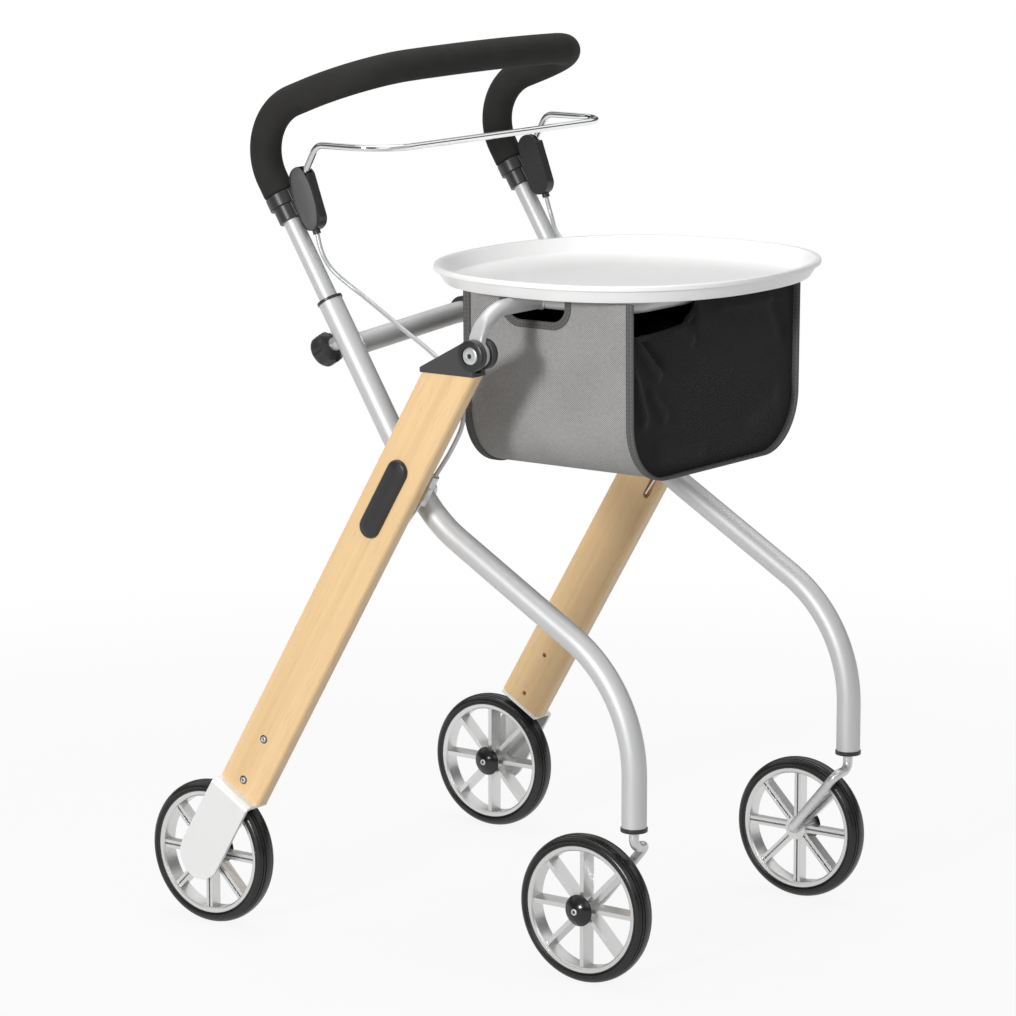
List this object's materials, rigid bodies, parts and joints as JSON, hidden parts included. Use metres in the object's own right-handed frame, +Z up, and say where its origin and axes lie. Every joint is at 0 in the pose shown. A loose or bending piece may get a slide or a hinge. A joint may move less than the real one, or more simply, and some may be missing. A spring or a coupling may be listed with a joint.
{
  "type": "indoor walker with tray",
  "caption": "Folding four-wheeled indoor walker with wooden rear legs, bent tube frame, foam handle, brake bar, hanging bag and lift-off tray.",
  "frame": {"origin": "on the floor, below the middle of the whole walker's outline", "axes": "+Z up; -Y to the front, where the casters are; +Y to the back, where the user stands; -X to the user's right hand, +X to the left hand"},
  "size_m": [0.5354, 0.603, 0.9045],
  "materials": {
    "satin_aluminium": "fine-sanded and clear anodised",
    "bracket_aluminium": "bead-blasted sheet",
    "steel": "zinc plated",
    "chrome": "polished",
    "black_plastic": "fine moulded grain",
    "cover_plastic": "fine moulded grain",
    "foam": "closed-cell foam skin",
    "beech": "clear matt lacquer",
    "cable_sheath": "smooth sheath",
    "bag_cloth": "woven nylon",
    "tray_white": "semi-gloss",
    "rim_silver": "silver paint",
    "tyre": "smooth rubber"
  },
  "bodies": {
    "frame": {"right_frame_tube": "satin_aluminium", "left_frame_tube": "satin_aluminium", "crossbar": "satin_aluminium", "tube_collars": "black_plastic", "clamp_nuts": "steel", "pivot_bolts": "steel", "pivot_spacers": "black_plastic", "stem_plugs": "black_plastic"},
    "handle": {"handle_tube": "satin_aluminium", "grip_foam": "foam", "clamp_sleeves": "black_plastic", "right_brake_housing": "black_plastic", "left_brake_housing": "black_plastic", "right_housing_cover": "cover_plastic", "left_housing_cover": "cover_plastic"},
    "brake_bar": {"brake_bar": "chrome"},
    "right_knob": {"right_clamp_knob": "black_plastic"},
    "left_knob": {"left_clamp_knob": "black_plastic"},
    "tray_frame": {"tray_loop": "satin_aluminium", "right_tray_arm": "satin_aluminium", "left_tray_arm": "satin_aluminium", "loop_stay": "satin_aluminium", "stay_clip": "black_plastic", "bag": "bag_cloth"},
    "tray": {"tray": "tray_white"},
    "right_leg": {"right_leg": "beech", "right_hinge_cap": "black_plastic", "right_pivot_cover": "black_plastic", "right_wheel_bracket": "bracket_aluminium", "right_leg_screws": "steel", "right_hinge_bolt": "steel", "right_rear_axle": "steel", "right_brake_cable": "cable_sheath", "right_cable_adjuster": "steel"},
    "right_plunger": {"right_brake_plunger": "bracket_aluminium"},
    "right_caster": {"right_caster_fork": "steel"},
    "right_front_wheel": {"right_front_rim": "rim_silver", "right_front_tyre": "tyre", "right_front_cap": "black_plastic"},
    "right_rear_wheel": {"right_rear_rim": "rim_silver", "right_rear_tyre": "tyre", "right_rear_cap": "black_plastic"},
    "left_leg": {"left_leg": "beech", "left_hinge_cap": "black_plastic", "left_pivot_cover": "black_plastic", "left_wheel_bracket": "bracket_aluminium", "left_leg_screws": "steel", "left_hinge_bolt": "steel", "left_rear_axle": "steel", "left_brake_cable": "cable_sheath", "left_cable_adjuster": "steel"},
    "left_plunger": {"left_brake_plunger": "bracket_aluminium"},
    "left_caster": {"left_caster_fork": "steel"},
    "left_front_wheel": {"left_front_rim": "rim_silver", "left_front_tyre": "tyre", "left_front_cap": "black_plastic"},
    "left_rear_wheel": {"left_rear_rim": "rim_silver", "left_rear_tyre": "tyre", "left_rear_cap": "black_plastic"}
  },
  "joints": [
    {"name": "handle_height", "type": "slide", "parent": "frame", "child": "handle", "axis": [0, 0.5255, 0.8508], "range_m": [-0.05, 0.05], "deforming": ["right_brake_cable", "left_brake_cable"]},
    {"name": "brake_bar_pivot", "type": "hinge", "parent": "handle", "child": "brake_bar", "pos_m": [0, 0.14011, 0.77203], "axis": [-1, 0, 0], "range_deg": [0, 20], "stiffness_Nm_per_rad": 3, "springref_deg": -5.73},
    {"name": "right_leg_fold", "type": "hinge", "parent": "frame", "child": "right_leg", "pos_m": [-0.2447, -0.00697, 0.47136], "axis": [-1, 0, 0], "range_deg": [0, 60], "deforming": ["right_brake_cable", "left_brake_cable"]},
    {"name": "left_leg_fold", "type": "hinge", "parent": "frame", "child": "left_leg", "pos_m": [0.2447, -0.00697, 0.47136], "axis": [-1, 0, 0], "range_deg": [0, 60]},
    {"name": "tray_fold", "type": "hinge", "parent": "right_leg", "child": "tray_frame", "pos_m": [-0.2447, -0.11432, 0.62365], "axis": [1, 0, 0], "range_deg": [0, 118], "deforming": ["bag"]},
    {"name": "tray_lift", "type": "slide", "parent": "tray_frame", "child": "tray", "axis": [0, 0, 1], "range_m": [0, 0.1]},
    {"name": "right_knob_turn", "type": "hinge", "parent": "frame", "child": "right_knob", "pos_m": [-0.197, 0.0842, 0.61898], "axis": [0, 0.8508, -0.5255], "range_deg": [0, 360]},
    {"name": "right_plunger_press", "type": "slide", "parent": "right_leg", "child": "right_plunger", "axis": [0, 0.5075, -0.8616], "range_m": [0, 0.0025]},
    {"name": "right_caster_swivel", "type": "hinge", "parent": "frame", "child": "right_caster", "pos_m": [-0.197, -0.2685, 0.15], "axis": [0, 0, 1], "continuous": true},
    {"name": "right_front_spin", "type": "hinge", "parent": "right_caster", "child": "right_front_wheel", "pos_m": [-0.197, -0.2115, 0.075], "axis": [1, 0, 0], "continuous": true},
    {"name": "right_rear_spin", "type": "hinge", "parent": "right_leg", "child": "right_rear_wheel", "pos_m": [-0.2447, 0.2265, 0.075], "axis": [1, 0, 0], "continuous": true},
    {"name": "left_knob_turn", "type": "hinge", "parent": "frame", "child": "left_knob", "pos_m": [0.197, 0.0842, 0.61898], "axis": [0, 0.8508, -0.5255], "range_deg": [0, 360]},
    {"name": "left_plunger_press", "type": "slide", "parent": "left_leg", "child": "left_plunger", "axis": [0, 0.5075, -0.8616], "range_m": [0, 0.0025]},
    {"name": "left_caster_swivel", "type": "hinge", "parent": "frame", "child": "left_caster", "pos_m": [0.197, -0.2685, 0.15], "axis": [0, 0, 1], "continuous": true},
    {"name": "left_front_spin", "type": "hinge", "parent": "left_caster", "child": "left_front_wheel", "pos_m": [0.197, -0.2115, 0.075], "axis": [1, 0, 0], "continuous": true},
    {"name": "left_rear_spin", "type": "hinge", "parent": "left_leg", "child": "left_rear_wheel", "pos_m": [0.2447, 0.2265, 0.075], "axis": [1, 0, 0], "continuous": true}
  ],
  "couplings": [
    {"joint": "left_leg_fold", "follows": "right_leg_fold", "ratio": 1},
    {"joint": "tray_fold", "follows": "right_leg_fold", "ratio": 1.9666},
    {"joint": "right_plunger_press", "follows": "brake_bar_pivot", "m_per_rad": 0.0071},
    {"joint": "left_plunger_press", "follows": "brake_bar_pivot", "m_per_rad": 0.0071}
  ]
}
